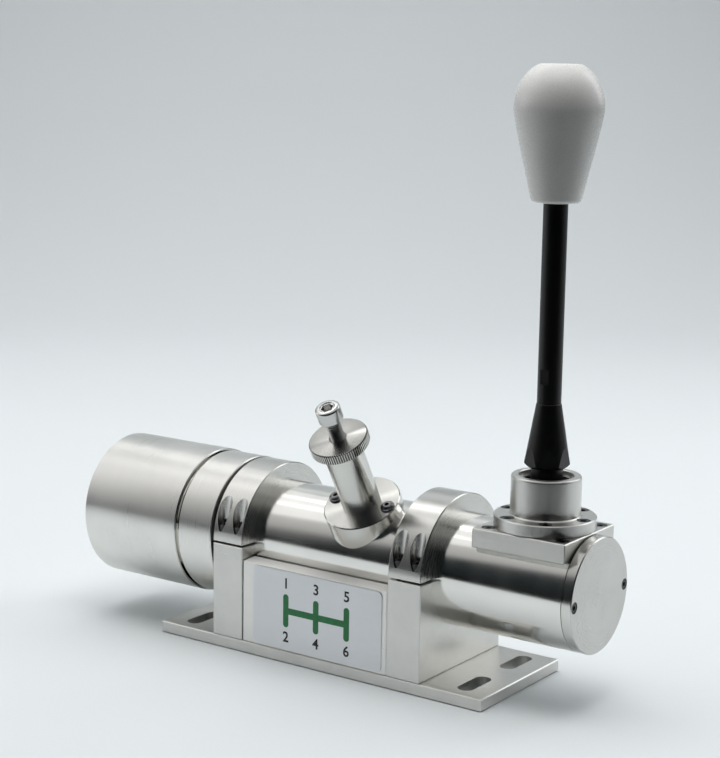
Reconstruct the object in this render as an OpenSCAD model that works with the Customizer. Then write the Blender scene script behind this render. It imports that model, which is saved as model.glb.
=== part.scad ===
// Sim racing gear shifter, sizes in mm, +Z up, origin under the middle of the base plate
// The lever stands at the +X end and the front panel faces -Y

/* [Base plate] */
// Length of the base plate
plate_len = 212; // [206:1:240]
// Thickness of the base plate
plate_t = 6.5; // [5:0.5:10]
// Width of each mounting slot
slot_w = 9; // [6:0.5:10]
// End to end length of each mounting slot
slot_len = 25; // [16:1:30]

/* [Clamps and tube] */
// Height of the tube axis above the plate
axis_rise = 52.9; // [50:0.1:60]
// Distance between the two clamp centres
clamp_pitch = 116.4; // [112:0.2:122]
// Thickness of each clamp along the tube
clamp_t = 20.5; // [19:0.5:22]
// Wall of the clamp caps round the tube
clamp_wall = 10; // [9.8:0.1:13]
// Open gap between a clamp block and its cap
clamp_gap = 1.4; // [0.8:0.1:2]
// Outside diameter of the main tube
tube_od = 60; // [59:0.5:62]
// Bore of the main tube
tube_bore = 36; // [35:0.5:37]
// Distance from the right clamp to the lever pad
pad_gap = 20.85; // [19.5:0.05:40]
// Thickness of the tube's end cap
end_cap_t = 5.9; // [5:0.1:8]

/* [Panels] */
// Height of the front and rear panels
panel_h = 46; // [44:0.5:48]
// Thickness of the front and rear panels
panel_t = 10.4; // [7:0.1:11]
// Width of the label plate
label_w = 84.5; // [60:0.5:86]
// Height of the label plate
label_h = 43.5; // [30:0.5:44]

/* [Lever mount] */
// Side of the square lever pad
pad_size = 52; // [52:0.5:56]
// Thickness of the lever pad
pad_t = 10.2; // [9.5:0.1:12]
// Diameter of the pivot housing's flange
flange_d = 52.4; // [52:0.2:54]
// Thickness of the flange
flange_t = 6.5; // [6:0.5:8]
// Outside diameter of the housing's collar
collar_d = 36; // [35:0.5:37]
// Height of the housing from pad to rim
collar_h = 27.1; // [24.5:0.1:27.3]

/* [Lever] */
// Diameter of the pivot ball
pivot_ball_d = 22; // [21:0.2:22.4]
// Swing of the lever to each side when shifting
shift_angle = 13; // [8:0.5:13]
// Swing of the lever to each side when selecting
select_angle = 8; // [5:0.5:8]
// Length of the tapered lever base
base_len = 33; // [28:1:40]
// Diameter of the lever rod
lever_rod_d = 12.3; // [11:0.1:14]
// Visible length of the lever rod
lever_rod_len = 100; // [60:0.5:200]
// Largest diameter of the knob
knob_d = 44.4; // [36:0.2:50]
// Height of the knob
knob_h = 67.4; // [55:0.2:80]

/* [Plunger] */
// Distance of the plunger from the middle of the plate
plunger_x = 15.5; // [10:0.5:20]
// Lean of the plunger towards the front
plunger_tilt = 30; // [0:1:32]
// Diameter of the saddle disc
saddle_d = 42.2; // [40:0.2:44]
// Diameter of the plunger barrel
barrel_d = 20.9; // [18:0.1:24]
// Height of the barrel above the tube
barrel_rise = 44.7; // [40:0.1:60]
// Diameter of the knurled lock nut
nut_d = 31.9; // [26:0.1:36]
// Thickness of the knurled lock nut
nut_t = 5.9; // [4:0.1:8]
// Thread left between the nut and the adjuster's head
thread_show = 11.9; // [4:0.1:14]

/* [Sensor end] */
// Step in diameter from the flange ring up to the can
can_over = 1.8; // [-1:0.2:6]
// Length of the sensor can
can_len = 68.4; // [66.5:0.1:80]
// Step in diameter from the clamp caps up to the flange ring
ring_over = 0.6; // [-1:0.2:6]
// Length of the flange ring
ring_len = 23.5; // [22:0.5:30]
// Open groove between the ring and the can
ring_groove = 1.8; // [1:0.1:3]

/* [Inner mechanism] */
// Diameter of the selector rod
rod_d = 16; // [15:0.5:16.5]
// Diameter of the detent ball
detent_ball_d = 10; // [9:0.5:11]
// Curls of the detent spring
spring_curls = 14; // [8:1:16]
// Diameter of the gate finger
finger_d = 5; // [4:0.5:6]

/* [Fits] */
// Running clearance of a moving piece, on the radius
running_fit = 0.05; // [0.03:0.01:0.08]
// Clearance of a piece that is pushed home and fixed, on the radius
seat_fit = 0.02; // [0.01:0.01:0.05]
// Clearance round a screw's shank, on the radius
screw_fit = 0.1; // [0.05:0.05:0.2]
// Clearance of a finger in its slot, on the radius
slot_fit = 0.3; // [0.28:0.01:0.4]

/* [Hidden] */

$fn = 96;
over = 1;

// Base, clamps and tube
tube_r = tube_od / 2;
bore_r = tube_bore / 2;
plate_w = tube_od + 2 * clamp_wall;
cap_r = plate_w / 2;
axis_z = plate_t + axis_rise;
clamp_x = clamp_pitch / 2;
clamp_face = clamp_x + clamp_t / 2;
slot_x = plate_len / 2 - 15.5;
slot_y = 21;
edge = 0.5;
clamp_screw_y = tube_r + clamp_wall / 2 + 0.5;
clamp_screw_dx = clamp_t / 4 + 0.175;
clamp_seat = 5.5;
m5_d = 5;
clamp_sink_d = 8.1;
clamp_screw_len = 26;
base_screw_y = tube_r * 0.8;
base_screw_d = 6;
base_screw_head = 11.5;
base_screw_len = 20;

// Panels
panel_fit = 0.7;
panel_x = panel_fit / 2;
panel_w = clamp_pitch - clamp_t - panel_fit;
panel_slope = 0.7;
panel_line = 0.6;
panel_clear = 0.35;
panel_y = plate_w / 2 - panel_t / 2;
panel_screw_x = panel_w / 3;
panel_screw_d = 3;
panel_screw_head = 5.6;
panel_screw_len = 18;
label_t = 0.5;
label_x = 2.8;
label_round = 3;
label_z = plate_t + (panel_h - panel_slope + panel_line) / 2;

// Lever mount
pad_tail = 1.5;
lever_x = clamp_face + pad_gap + pad_tail + pad_size / 2;
flat_wall = 2.4;
flat_h = bore_r + flat_wall;
flat_z = axis_z + flat_h;
flat_x = lever_x - pad_size / 2 - pad_tail - 0.3;
tube_right = lever_x + pad_size / 2 + 0.8;
pad_top = flat_z + pad_t;
pad_screw_x = pad_size / 2 - 4.8;
pad_screw_y = pad_size / 2 - 6.1;
pad_screw_d = 3.4;
m4_d = 4;
m4_head_d = 6.8;
m4_head_h = 4;
m4_sink_d = 7.2;
m4_sink = 4.2;
pad_screw_len = pad_t - m4_sink + 9;
flange_r = flange_d / 2;
flange_screw_r = flange_r - edge - m4_sink_d / 2 - 0.1;
flange_screw_len = flange_t - m4_sink + 7;
pivot_z = pad_top + 16;
ball_r = pivot_ball_d / 2;
cup_r = 14;
cup_floor = pad_top + 4;
cup_seat_r = ball_r + 0.08;
clip_z = pad_top + collar_h - 4.2;
cup_rim = 2.1;
cup_top = clip_z - cup_rim;
cup_open = ball_r * 0.755;
lever_hole_r = 11;
finger_room = lever_hole_r + 3;
clip_t = 1.2;
clip_depth = 1;
pin_r = 2;
pin_reach = cup_r - 0.5;
pin_room = pin_reach * sin(select_angle) + pin_r + 0.35;

// Lever
finger_ball_r = 5;
finger_ball_rise = 14.1;
finger_arm = pivot_z - axis_z - finger_ball_rise;
stem_low_r = 3;
stem_high_r = 4.2;
stem_pin_r = 2.4;
neck_r = 8.15;
base_z = pivot_z + 15;
base_low_r = 11.5;
base_flats = 20.2;
base_top_z = base_z + base_len;
stem_stud_r = 5;
stem_stud_len = base_len * 0.5;
rod_stud_r = 4;
rod_stud_len = base_len * 0.38;
knob_z = base_top_z + lever_rod_len;
knob_bore_len = knob_h * 0.45;
shift_stroke = finger_arm * shift_angle * PI / 180;
select_ratio = 2.096;
select_swing = select_ratio * select_angle;

// Sensor end, from the left clamp outwards
ring_right = -clamp_face - 1.75;
ring_left = ring_right - ring_len;
ring_d = plate_w + ring_over;
can_d = ring_d + can_over;
spigot_r = tube_r + 8;
spigot_end = ring_left - 10;
shoulder_t = 4;
tube_left = spigot_end + shoulder_t;
can_right = ring_left - ring_groove;
can_left = can_right - can_len;
can_wall_t = 3;
can_inside = can_left + can_wall_t;
finger_x = spigot_end - 12.3;
gate_in_r = tube_r;
gate_r = gate_in_r + 5;
gate_left = finger_x - 15;
gate_flat = gate_in_r - 3;
tie_r = gate_in_r + 3;
m3_d = 3;
m3_head_d = 5.5;
m3_head_h = 3;
bearing_t = 7;
bearing_left = gate_left - bearing_t;
bearing_bore_r = 10;
bearing_out_r = 16;
race_r = 13;
race_ball_r = 1.6;
rod_r = rod_d / 2;
key_r = rod_r * 0.75;
key_flat = key_r * 0.75;
rod_step = finger_x - 5;
sleeve_right = gate_left + 2;
rod_left = gate_left - 10.5;
sleeve_floor = rod_left - 7.7;
sleeve_left = sleeve_floor - 1.8;
magnet_t = 2;
board_right = sleeve_left - magnet_t - 1.5;
board_t = 1.6;
board_left = board_right - board_t;
board_r = gate_r - 1;
post_r = gate_in_r - 4;
chip = 5;
can_screw_len = board_right - can_left + 4.8;
socket_z = -15;
socket_w = 9;
socket_h = 3.4;

// Selector rod and bushes
head_len = 18;
head_r = bore_r - 1.4;
head_x = lever_x;
rod_right = lever_x + head_len / 2 + 3;
bush_r = 11;
bush_len = 17;
left_bush_x = tube_left + 2.7;
right_bush_x = clamp_face + 3.55;
groove_depth = 0.5;
groove_r = detent_ball_d / 2 + 0.3;

// Plunger, measured from the tube axis along the plunger
detent_r = detent_ball_d / 2;
detent_rise = rod_r + detent_r + running_fit;
saddle_top = tube_r + 5.4;
barrel_top = tube_r + barrel_rise;
guide_r = detent_r + 3;
guide_bottom = detent_rise - 2;
guide_bore = detent_r + 0.08;
plunger_screw_x = saddle_d * 0.396;
nut_bottom = barrel_top + seat_fit;
nut_top = nut_bottom + nut_t;
m8_r = 4;
m8_head_r = 6.5;
m8_head_h = 8;
adjuster_seat = nut_top + thread_show;
seat_top = barrel_top - 8.7;
seat_t = 3;
bore_top = barrel_top - 5.7;
knurl_count = 64;
knurl_depth = 0.45;
wire_r = detent_r * 0.14;
coil_r = guide_bore - 0.33 - wire_r;
spring_low = detent_rise + sqrt(pow(detent_r + wire_r, 2) - pow(coil_r, 2)) + 0.3;
spring_high = seat_top - seat_t - wire_r - 0.1;
spring_pitch = (spring_high - spring_low) / spring_curls;
spring_gap = spring_pitch - 2 * wire_r;
echo(spring_gap = spring_gap);

metal = [0.8, 0.81, 0.82];
steel = [0.7, 0.71, 0.73];
black = [0.08, 0.08, 0.09];
white = [0.93, 0.93, 0.92];
bronze = [0.72, 0.52, 0.28];
green = [0.1, 0.4, 0.2];

// Puts a turned piece on the tube axis, its base at x and its height along +X
module on_axis(x) {
  translate([x, 0, axis_z]) rotate([0, 90, 0]) children();
}

// Puts a piece in the plunger's own frame
module on_plunger(d) {
  translate([plunger_x, 0, axis_z]) rotate([plunger_tilt, 0, 0]) translate([0, 0, d]) children();
}

// Rectangle with cut corners
module bevel_rect(a, b, c) {
  polygon([[-a / 2 + c, -b / 2], [a / 2 - c, -b / 2], [a / 2, -b / 2 + c], [a / 2, b / 2 - c],
    [a / 2 - c, b / 2], [-a / 2 + c, b / 2], [-a / 2, b / 2 - c], [-a / 2, -b / 2 + c]]);
}

// Box that stands on z 0 with broken edges
module bevel_box(l, w, h, c) {
  intersection() {
    linear_extrude(height = h) bevel_rect(l, w, c);
    translate([0, w / 2, h / 2]) rotate([90, 0, 0]) linear_extrude(height = w) bevel_rect(l, h, c);
    translate([-l / 2, 0, h / 2]) rotate([90, 0, 90]) linear_extrude(height = l) bevel_rect(w, h, c);
  }
}

// Ring with broken outer edges
module bevel_ring(r_out, r_in, len, c) {
  rotate_extrude()
    polygon([[r_in, 0], [r_out - c, 0], [r_out, c], [r_out, len - c], [r_out - c, len], [r_in, len]]);
}

// Disc with broken outer edges
module bevel_disc(r, len, c) {
  rotate_extrude()
    polygon([[0, 0], [r - c, 0], [r, c], [r, len - c], [r - c, len], [0, len]]);
}

// Hole from z 0 down
module hole(r, depth) {
  translate([0, 0, -depth]) cylinder(r = r, h = depth + over);
}

// Socket head screw, seat at z 0, shank down
module cap_screw(d, len, head_d, head_h) {
  c = head_d * 0.06;
  difference() {
    rotate_extrude()
      polygon([[0, -len], [d / 2 - 0.3, -len], [d / 2, -len + 0.3], [d / 2, 0], [head_d / 2, 0],
        [head_d / 2, head_h - c], [head_d / 2 - c, head_h], [0, head_h]]);
    translate([0, 0, head_h * 0.45]) cylinder(d = d * 0.87, h = head_h, $fn = 6);
  }
}

// Button head screw, seat at z 0, shank down
module button_screw(d, len) {
  head_r = d * 0.95;
  head_h = d * 0.55;
  difference() {
    rotate_extrude()
      polygon([[0, -len], [d / 2, -len], [d / 2, 0], [head_r, 0], [head_r, head_h * 0.25],
        [head_r * 0.93, head_h * 0.6], [head_r * 0.76, head_h * 0.88], [head_r * 0.55, head_h],
        [0, head_h]]);
    translate([0, 0, head_h * 0.35]) cylinder(d = d * 0.72, h = head_h, $fn = 6);
  }
}

// Countersunk screw, flush face at z 0, shank up
module sunk_screw(d, len, head_d) {
  difference() {
    rotate_extrude()
      polygon([[0, 0], [head_d / 2, 0], [d / 2, (head_d - d) / 2], [d / 2, len], [0, len]]);
    translate([0, 0, -over]) cylinder(d = d * 0.62, h = over + d * 0.45, $fn = 6);
  }
}

// Hole for a countersunk screw from below
module sunk_hole(d, len, head_d) {
  f = screw_fit;
  rotate_extrude()
    polygon([[0, -over], [head_d / 2 + f + over, -over], [d / 2 + f, (head_d - d) / 2],
      [d / 2 + f, len + 0.5], [0, len + 0.5]]);
}

// Places of the base and panel screws
module at_base_screws() {
  for (sx = [-1, 1], sy = [-1, 1]) translate([sx * clamp_x, sy * base_screw_y, 0]) children();
}
module at_panel_screws() {
  for (sx = [-1, 1], sy = [-1, 1]) translate([panel_x + sx * panel_screw_x, sy * panel_y, 0]) children();
}
module at_clamp_screws(x) {
  for (sx = [-1, 1], sy = [-1, 1])
    translate([x + sx * clamp_screw_dx, sy * clamp_screw_y, axis_z + clamp_seat]) children();
}
module at_pad_screws() {
  for (sx = [-1, 1], sy = [-1, 1])
    translate([lever_x + sx * pad_screw_x, sy * pad_screw_y, pad_top - m4_sink]) children();
}
module at_flange_screws() {
  for (i = [0:5])
    translate([lever_x, 0, pad_top + flange_t - m4_sink]) rotate([0, 0, i * 60])
      translate([flange_screw_r, 0, 0]) children();
}
module at_plunger_screws() {
  for (s = [-1, 1]) on_plunger(saddle_top) translate([s * plunger_screw_x, 0, 0]) children();
}
module at_end_screws() {
  for (s = [-1, 1])
    translate([tube_right + end_cap_t - m3_head_h - 0.2, s * (tube_r - 3.5), axis_z])
      rotate([0, 90, 0]) children();
}
module at_tie_screws() {
  for (i = [0:2])
    on_axis(bearing_left) rotate([0, 0, i * 120]) translate([tie_r, 0, 0]) rotate([180, 0, 0]) children();
}
module at_posts(x) {
  for (i = [0:2]) on_axis(x) rotate([0, 0, i * 120 + 60]) translate([post_r, 0, 0]) children();
}

module base_plate() {
  color(metal) difference() {
    bevel_box(plate_len, plate_w, plate_t, edge);
    for (sx = [-1, 1], sy = [-1, 1]) translate([sx * slot_x, sy * slot_y, -over]) {
      for (e = [-1, 1]) translate([0, e * (slot_len - slot_w) / 2, 0])
        cylinder(d = slot_w, h = plate_t + 2 * over);
      translate([-slot_w / 2, -(slot_len - slot_w) / 2, 0])
        cube([slot_w, slot_len - slot_w, plate_t + 2 * over]);
    }
    at_base_screws() sunk_hole(base_screw_d, base_screw_len, base_screw_head);
    at_panel_screws() sunk_hole(panel_screw_d, panel_screw_len, panel_screw_head);
  }
}

module base_screws() {
  color(black) at_base_screws() sunk_screw(base_screw_d, base_screw_len, base_screw_head);
}

module panel_screws() {
  color(black) at_panel_screws() sunk_screw(panel_screw_d, panel_screw_len, panel_screw_head);
}

module clamp_block(x) {
  color(metal) difference() {
    translate([x, 0, plate_t]) bevel_box(clamp_t, plate_w, axis_rise - clamp_gap / 2, edge);
    on_axis(x - clamp_t) cylinder(r = tube_r, h = 2 * clamp_t);
    at_clamp_screws(x) hole(m4_d / 2 + screw_fit, clamp_screw_len + 0.5);
    at_base_screws() sunk_hole(base_screw_d, base_screw_len, base_screw_head);
  }
}

module left_clamp_block() {
  clamp_block(-clamp_x);
}

module right_clamp_block() {
  clamp_block(clamp_x);
}

module clamp_cap(x) {
  color(metal) difference() {
    on_axis(x - clamp_t / 2) bevel_ring(cap_r, tube_r, clamp_t, edge);
    translate([x - clamp_t, -plate_w, axis_z + clamp_gap / 2 - 2 * plate_w])
      cube([2 * clamp_t, 2 * plate_w, 2 * plate_w]);
    at_clamp_screws(x) cylinder(d = clamp_sink_d, h = cap_r);
    at_clamp_screws(x) hole(m4_d / 2 + screw_fit, clamp_seat + over);
  }
}

module left_clamp_cap() {
  clamp_cap(-clamp_x);
}

module right_clamp_cap() {
  clamp_cap(clamp_x);
}

module clamp_screws() {
  color(black) for (s = [-1, 1])
    at_clamp_screws(s * clamp_x) cap_screw(m4_d, clamp_screw_len, m4_head_d, m4_head_h);
}

module main_tube() {
  color(metal) difference() {
    on_axis(tube_left) cylinder(r = tube_r, h = tube_right - tube_left);
    on_axis(tube_left - over) cylinder(r = bore_r, h = tube_right - tube_left + 2 * over);
    translate([flat_x, -tube_r, flat_z]) cube([tube_right - flat_x + over, tube_od, tube_r]);
    translate([lever_x, 0, axis_z]) cylinder(r = finger_room, h = tube_r);
    at_pad_screws() hole(pad_screw_d / 2 + screw_fit, pad_screw_len + 0.5);
    at_plunger_screws() hole(m4_d / 2 + screw_fit, saddle_top - tube_r + 8.5);
    on_plunger(0) cylinder(r = guide_r + seat_fit, h = tube_r + over);
    at_end_screws() hole(m3_d / 2 + screw_fit, end_cap_t + 8.5);
  }
}

module end_cap() {
  color(metal) difference() {
    union() {
      on_axis(tube_right) bevel_disc(tube_r, end_cap_t, edge);
      on_axis(tube_right - 6) cylinder(r = bore_r - seat_fit, h = 6 + over);
    }
    translate([tube_right - 6 - over, -bore_r, flat_z - 2.5]) cube([6 + over, tube_bore, tube_r]);
    at_end_screws() hole(m3_d / 2 + screw_fit, end_cap_t);
    at_end_screws() cylinder(r = m3_head_d / 2 + 0.2, h = end_cap_t);
  }
}

module end_cap_screws() {
  color(black) at_end_screws() cap_screw(m3_d, end_cap_t + 8 - m3_head_h, m3_head_d, m3_head_h);
}

module at_set_screws() {
  for (a = [90, 150]) on_axis((ring_left + ring_right) / 2) rotate([0, 0, a]) rotate([0, 90, 0]) children();
}

module flange_ring() {
  color(metal) difference() {
    union() {
      on_axis(ring_left) bevel_ring(ring_d / 2, tube_r, ring_len, edge);
      on_axis(spigot_end) bevel_ring(spigot_r, bush_r + 3, ring_left - spigot_end + over, edge);
    }
    on_axis(tube_left) cylinder(r = tube_r + seat_fit, h = ring_right - tube_left + over);
    at_set_screws() cylinder(r = m5_d / 2 + screw_fit, h = ring_d);
    at_tie_screws() hole(m3_d / 2 + screw_fit, spigot_end - bearing_left + 10.5);
  }
}

module ring_set_screws() {
  color(black) at_set_screws() translate([0, 0, tube_r + seat_fit]) difference() {
    cylinder(d = m5_d, h = 8);
    translate([0, 0, 5]) cylinder(d = 2.9, h = 4, $fn = 6);
  }
}

module sensor_can() {
  color(metal) difference() {
    on_axis(can_left) bevel_disc(can_d / 2, can_len, edge);
    on_axis(can_inside) cylinder(r = spigot_r + seat_fit, h = can_len);
    at_posts(can_left - over) cylinder(r = m3_d / 2 + screw_fit, h = can_wall_t + 2 * over);
    translate([can_left - over, -socket_w / 2 - slot_fit, axis_z + socket_z - slot_fit])
      cube([can_wall_t + 2 * over, socket_w + 2 * slot_fit, socket_h + 2 * slot_fit]);
  }
}

module can_screws() {
  color(black) at_posts(can_left) rotate([180, 0, 0]) button_screw(m3_d, can_screw_len);
}

// Panel with a sloped top, a shadow line along the plate and room for the tube
module side_panel(side) {
  out = plate_w / 2;
  top = plate_t + panel_h;
  difference() {
    translate([panel_x, side * panel_y, plate_t]) bevel_box(panel_w, panel_t, panel_h, edge);
    translate([-panel_w, 0, 0]) rotate([90, 0, 90]) linear_extrude(height = 2 * panel_w) {
      polygon([[side * (out + panel_t), top - 2 * panel_slope], [side * (out - 2 * panel_t), top + panel_slope],
        [side * (out - 2 * panel_t), top + 5], [side * (out + panel_t), top + 5]]);
      polygon([[side * (out - 1.2), plate_t - 1], [side * (out + 1), plate_t - 1],
        [side * (out + 1), plate_t + panel_line], [side * (out - 1.2), plate_t + panel_line]]);
    }
    on_axis(-panel_w) cylinder(r = tube_r + panel_clear, h = 2 * panel_w);
    at_panel_screws() sunk_hole(panel_screw_d, panel_screw_len, panel_screw_head);
  }
}

module front_panel() {
  color(metal) side_panel(-1);
}

module rear_panel() {
  color(metal) side_panel(1);
}

module name_label() {
  a = label_w / 2 - label_round;
  b = label_h / 2 - label_round;
  color(steel) translate([label_x, -plate_w / 2, label_z]) rotate([90, 0, 0]) linear_extrude(height = label_t) {
    square([label_w, 2 * b], center = true);
    square([2 * a, label_h], center = true);
    for (sx = [-1, 1], sy = [-1, 1]) translate([sx * a, sy * b]) circle(r = label_round);
  }
}

module lever_pad() {
  color(metal) difference() {
    translate([lever_x - pad_tail / 2, 0, flat_z]) bevel_box(pad_size + pad_tail, pad_size, pad_t, edge);
    translate([lever_x, 0, flat_z - over]) cylinder(r = lever_hole_r, h = pad_t + 2 * over);
    at_pad_screws() hole(pad_screw_d / 2 + screw_fit, pad_t);
    at_pad_screws() cylinder(d = m4_sink_d, h = pad_t);
    at_flange_screws() hole(m4_d / 2 + screw_fit, flange_screw_len + 0.5);
  }
}

module pad_screws() {
  color(black) at_pad_screws() cap_screw(pad_screw_d, pad_screw_len, m4_head_d, m4_head_h);
}

module pivot_housing() {
  rim = 1.4;
  r = collar_d / 2;
  color(metal) translate([lever_x, 0, pad_top]) difference() {
    rotate_extrude() polygon(concat(
      [[lever_hole_r, 0], [flange_r - edge, 0], [flange_r, edge], [flange_r, flange_t - edge],
        [flange_r - edge, flange_t], [r + 0.6, flange_t], [r, flange_t + 0.6]],
      [for (i = [0:6]) [r - rim + rim * cos(i * 15), collar_h - rim + rim * sin(i * 15)]],
      [[cup_r + 0.4, collar_h], [cup_r, collar_h - 0.4], [cup_r, cup_floor - pad_top],
        [lever_hole_r, cup_floor - pad_top]]));
    translate([0, 0, clip_z - pad_top]) cylinder(r = cup_r + clip_depth, h = clip_t + 0.1);
    for (i = [0:5]) rotate([0, 0, i * 60]) translate([flange_screw_r, 0, flange_t - m4_sink]) {
      hole(m4_d / 2 + screw_fit, flange_t);
      cylinder(d = m4_sink_d, h = m4_sink + over);
    }
  }
}

module flange_screws() {
  color(black) at_flange_screws() cap_screw(m4_d, flange_screw_len, m4_head_d, m4_head_h);
}

// Room in the cups for the cross pin's swing
module pin_room() {
  translate([lever_x - pin_r - running_fit, -cup_r - over, pivot_z - pin_room])
    cube([2 * (pin_r + running_fit), 2 * (cup_r + over), 2 * pin_room]);
}

module lower_cup() {
  color(bronze) difference() {
    translate([lever_x, 0, cup_floor]) cylinder(r = cup_r - seat_fit, h = pivot_z - cup_floor);
    translate([lever_x, 0, pivot_z]) sphere(r = cup_seat_r);
    translate([lever_x, 0, cup_floor - over]) cylinder(r = cup_open, h = ball_r);
    pin_room();
  }
}

module upper_cup() {
  color(bronze) difference() {
    translate([lever_x, 0, pivot_z]) cylinder(r = cup_r - seat_fit, h = clip_z - pivot_z);
    translate([lever_x, 0, pivot_z]) sphere(r = cup_seat_r);
    translate([lever_x, 0, cup_top]) cylinder(r = cup_r - 1.3, h = cup_rim + over);
    pin_room();
  }
}

module retaining_ring() {
  lug_r = 1.5;
  mid = cup_r - 1.2;
  color(steel) translate([lever_x, 0, clip_z]) rotate([0, 0, -54]) difference() {
    union() {
      difference() {
        cylinder(r = cup_r + clip_depth - 0.1, h = clip_t);
        translate([0, 0, -over]) cylinder(r = cup_r - 1.3, h = clip_t + 2 * over);
        translate([0, -3, -over]) cube([2 * cup_r, 6, clip_t + 2 * over]);
      }
      for (s = [-1, 1]) rotate([0, 0, s * 19]) translate([mid, 0, 0]) cylinder(r = lug_r, h = clip_t);
    }
    for (s = [-1, 1]) rotate([0, 0, s * 19]) translate([mid, 0, -over]) cylinder(r = 0.7, h = clip_t + 2 * over);
  }
}

module bush_carriers() {
  color(metal) for (x = [left_bush_x, right_bush_x])
    on_axis(x) bevel_ring(bore_r - seat_fit, bush_r + seat_fit, bush_len, edge);
}

module rod_bushes() {
  color(bronze) for (x = [left_bush_x, right_bush_x])
    on_axis(x) bevel_ring(bush_r, rod_r + running_fit, bush_len, edge);
}

module gate_sleeve() {
  len = spigot_end - gate_left;
  w = finger_d / 2 + slot_fit;
  reach = 2 * gate_r;
  color(metal) difference() {
    union() {
      on_axis(gate_left) bevel_ring(gate_r, gate_in_r, len, edge);
      on_axis(gate_left) intersection() {
        cylinder(r = gate_in_r + 1, h = len);
        translate([gate_flat, -gate_r, 0]) cube([gate_r, 2 * gate_r, len]);
      }
    }
    for (a = [-select_swing, 0, select_swing]) on_axis(finger_x) rotate([0, 0, a]) {
      for (s = [-1, 1]) translate([0, 0, s * shift_stroke]) rotate([0, -90, 0]) cylinder(r = w, h = reach);
      translate([-reach, -w, -shift_stroke]) cube([reach, 2 * w, 2 * shift_stroke]);
    }
    on_axis(finger_x - w) linear_extrude(height = 2 * w)
      polygon([[0, 0], [-reach, -reach * tan(select_swing)], [-reach, reach * tan(select_swing)]]);
    at_tie_screws() hole(m3_d / 2 + screw_fit, spigot_end - bearing_left + over);
  }
}

module gate_tie_screws() {
  color(black) at_tie_screws()
    cap_screw(m3_d, spigot_end - bearing_left + 10, m3_head_d, m3_head_h);
}

module bearing_plate() {
  color(metal) difference() {
    on_axis(bearing_left) bevel_ring(gate_r, bearing_out_r + seat_fit, bearing_t, edge);
    at_tie_screws() hole(m3_d / 2 + screw_fit, bearing_t + over);
    at_posts(bearing_left - over) cylinder(r = m3_d / 2 + screw_fit, h = 6 + over);
  }
}

// Ball track shared by both rings
module ball_track() {
  translate([0, 0, bearing_t / 2]) rotate_extrude() translate([race_r, 0]) circle(r = race_ball_r + 0.06);
}

module bearing_outer_ring() {
  color(steel) on_axis(bearing_left) difference() {
    bevel_ring(bearing_out_r, race_r + 0.8, bearing_t, 0.3);
    ball_track();
  }
}

module bearing_inner_ring() {
  color(steel) on_axis(bearing_left) difference() {
    bevel_ring(race_r - 0.8, bearing_bore_r + seat_fit, bearing_t, 0.3);
    ball_track();
  }
}

module bearing_balls() {
  color(steel) for (i = [0:8])
    on_axis(bearing_left + bearing_t / 2) rotate([0, 0, i * 40]) translate([race_r, 0, 0]) sphere(r = race_ball_r);
}

module standoffs() {
  color(steel) {
    at_posts(bearing_left - over) cylinder(d = m3_d, h = 5.5 + over);
    at_posts(board_right) difference() {
      cylinder(d = 6.2, h = bearing_left - board_right, $fn = 6);
      translate([0, 0, -over]) cylinder(r = m3_d / 2 + screw_fit, h = 6 + over);
    }
  }
}

module board_spacers() {
  color(steel) at_posts(can_inside) difference() {
    cylinder(d = 6.2, h = board_left - can_inside);
    translate([0, 0, -over]) cylinder(r = m3_d / 2 + screw_fit, h = board_left - can_inside + 2 * over);
  }
}

module sensor_board() {
  color(green) {
    difference() {
      on_axis(board_left) cylinder(r = board_r, h = board_t);
      at_posts(board_left - over) cylinder(r = m3_d / 2 + screw_fit, h = board_t + 2 * over);
    }
    translate([board_right - 0.1, -chip / 2, axis_z - chip / 2]) cube([1, chip, chip]);
    translate([board_right - 0.1, board_r / 4, axis_z + board_r / 8]) cube([1.1, 2 * chip, 2 * chip]);
    translate([board_right - 0.1, -board_r / 2, axis_z - board_r * 0.7]) cube([chip, 2 * chip, chip]);
  }
}

module shift_sensor_board() {
  l = 4 * chip;
  w = 3 * chip;
  color(green) translate([finger_x - l / 2, -w / 2, axis_z - gate_flat]) {
    cube([l, w, board_t]);
    translate([(l - chip) / 2, (w - chip) / 2, board_t - 0.1]) cube([chip, chip, 1]);
  }
}

module data_socket() {
  wall = 0.5;
  len = board_left - can_left + 0.4;
  color(steel) translate([can_left - 0.4, -socket_w / 2, axis_z + socket_z]) {
    difference() {
      cube([len, socket_w, socket_h]);
      translate([-over, wall, wall]) cube([len - 1, socket_w - 2 * wall, socket_h - 2 * wall]);
    }
    translate([0.6, 1.6, socket_h / 2 - 0.35]) cube([len - 1, socket_w - 3.2, 0.7]);
  }
}

module plunger_housing() {
  color(metal) difference() {
    union() {
      difference() {
        on_plunger(tube_r / 2) bevel_disc(saddle_d / 2, saddle_top - tube_r / 2, edge);
        on_axis(plunger_x - saddle_d) cylinder(r = tube_r, h = 2 * saddle_d);
      }
      on_plunger(guide_bottom) cylinder(r = guide_r, h = saddle_top - guide_bottom);
      on_plunger(tube_r + 2) bevel_disc(barrel_d / 2, barrel_rise - 2, edge);
    }
    on_plunger(guide_bottom - over) cylinder(r = guide_bore, h = bore_top - guide_bottom + over);
    on_plunger(guide_bottom) cylinder(r = m8_r + running_fit, h = barrel_top);
    at_plunger_screws() hole(m4_d / 2 + screw_fit, saddle_top);
  }
}

module plunger_screws() {
  color(black) at_plunger_screws() button_screw(m4_d, saddle_top - tube_r + 8);
}

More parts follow.
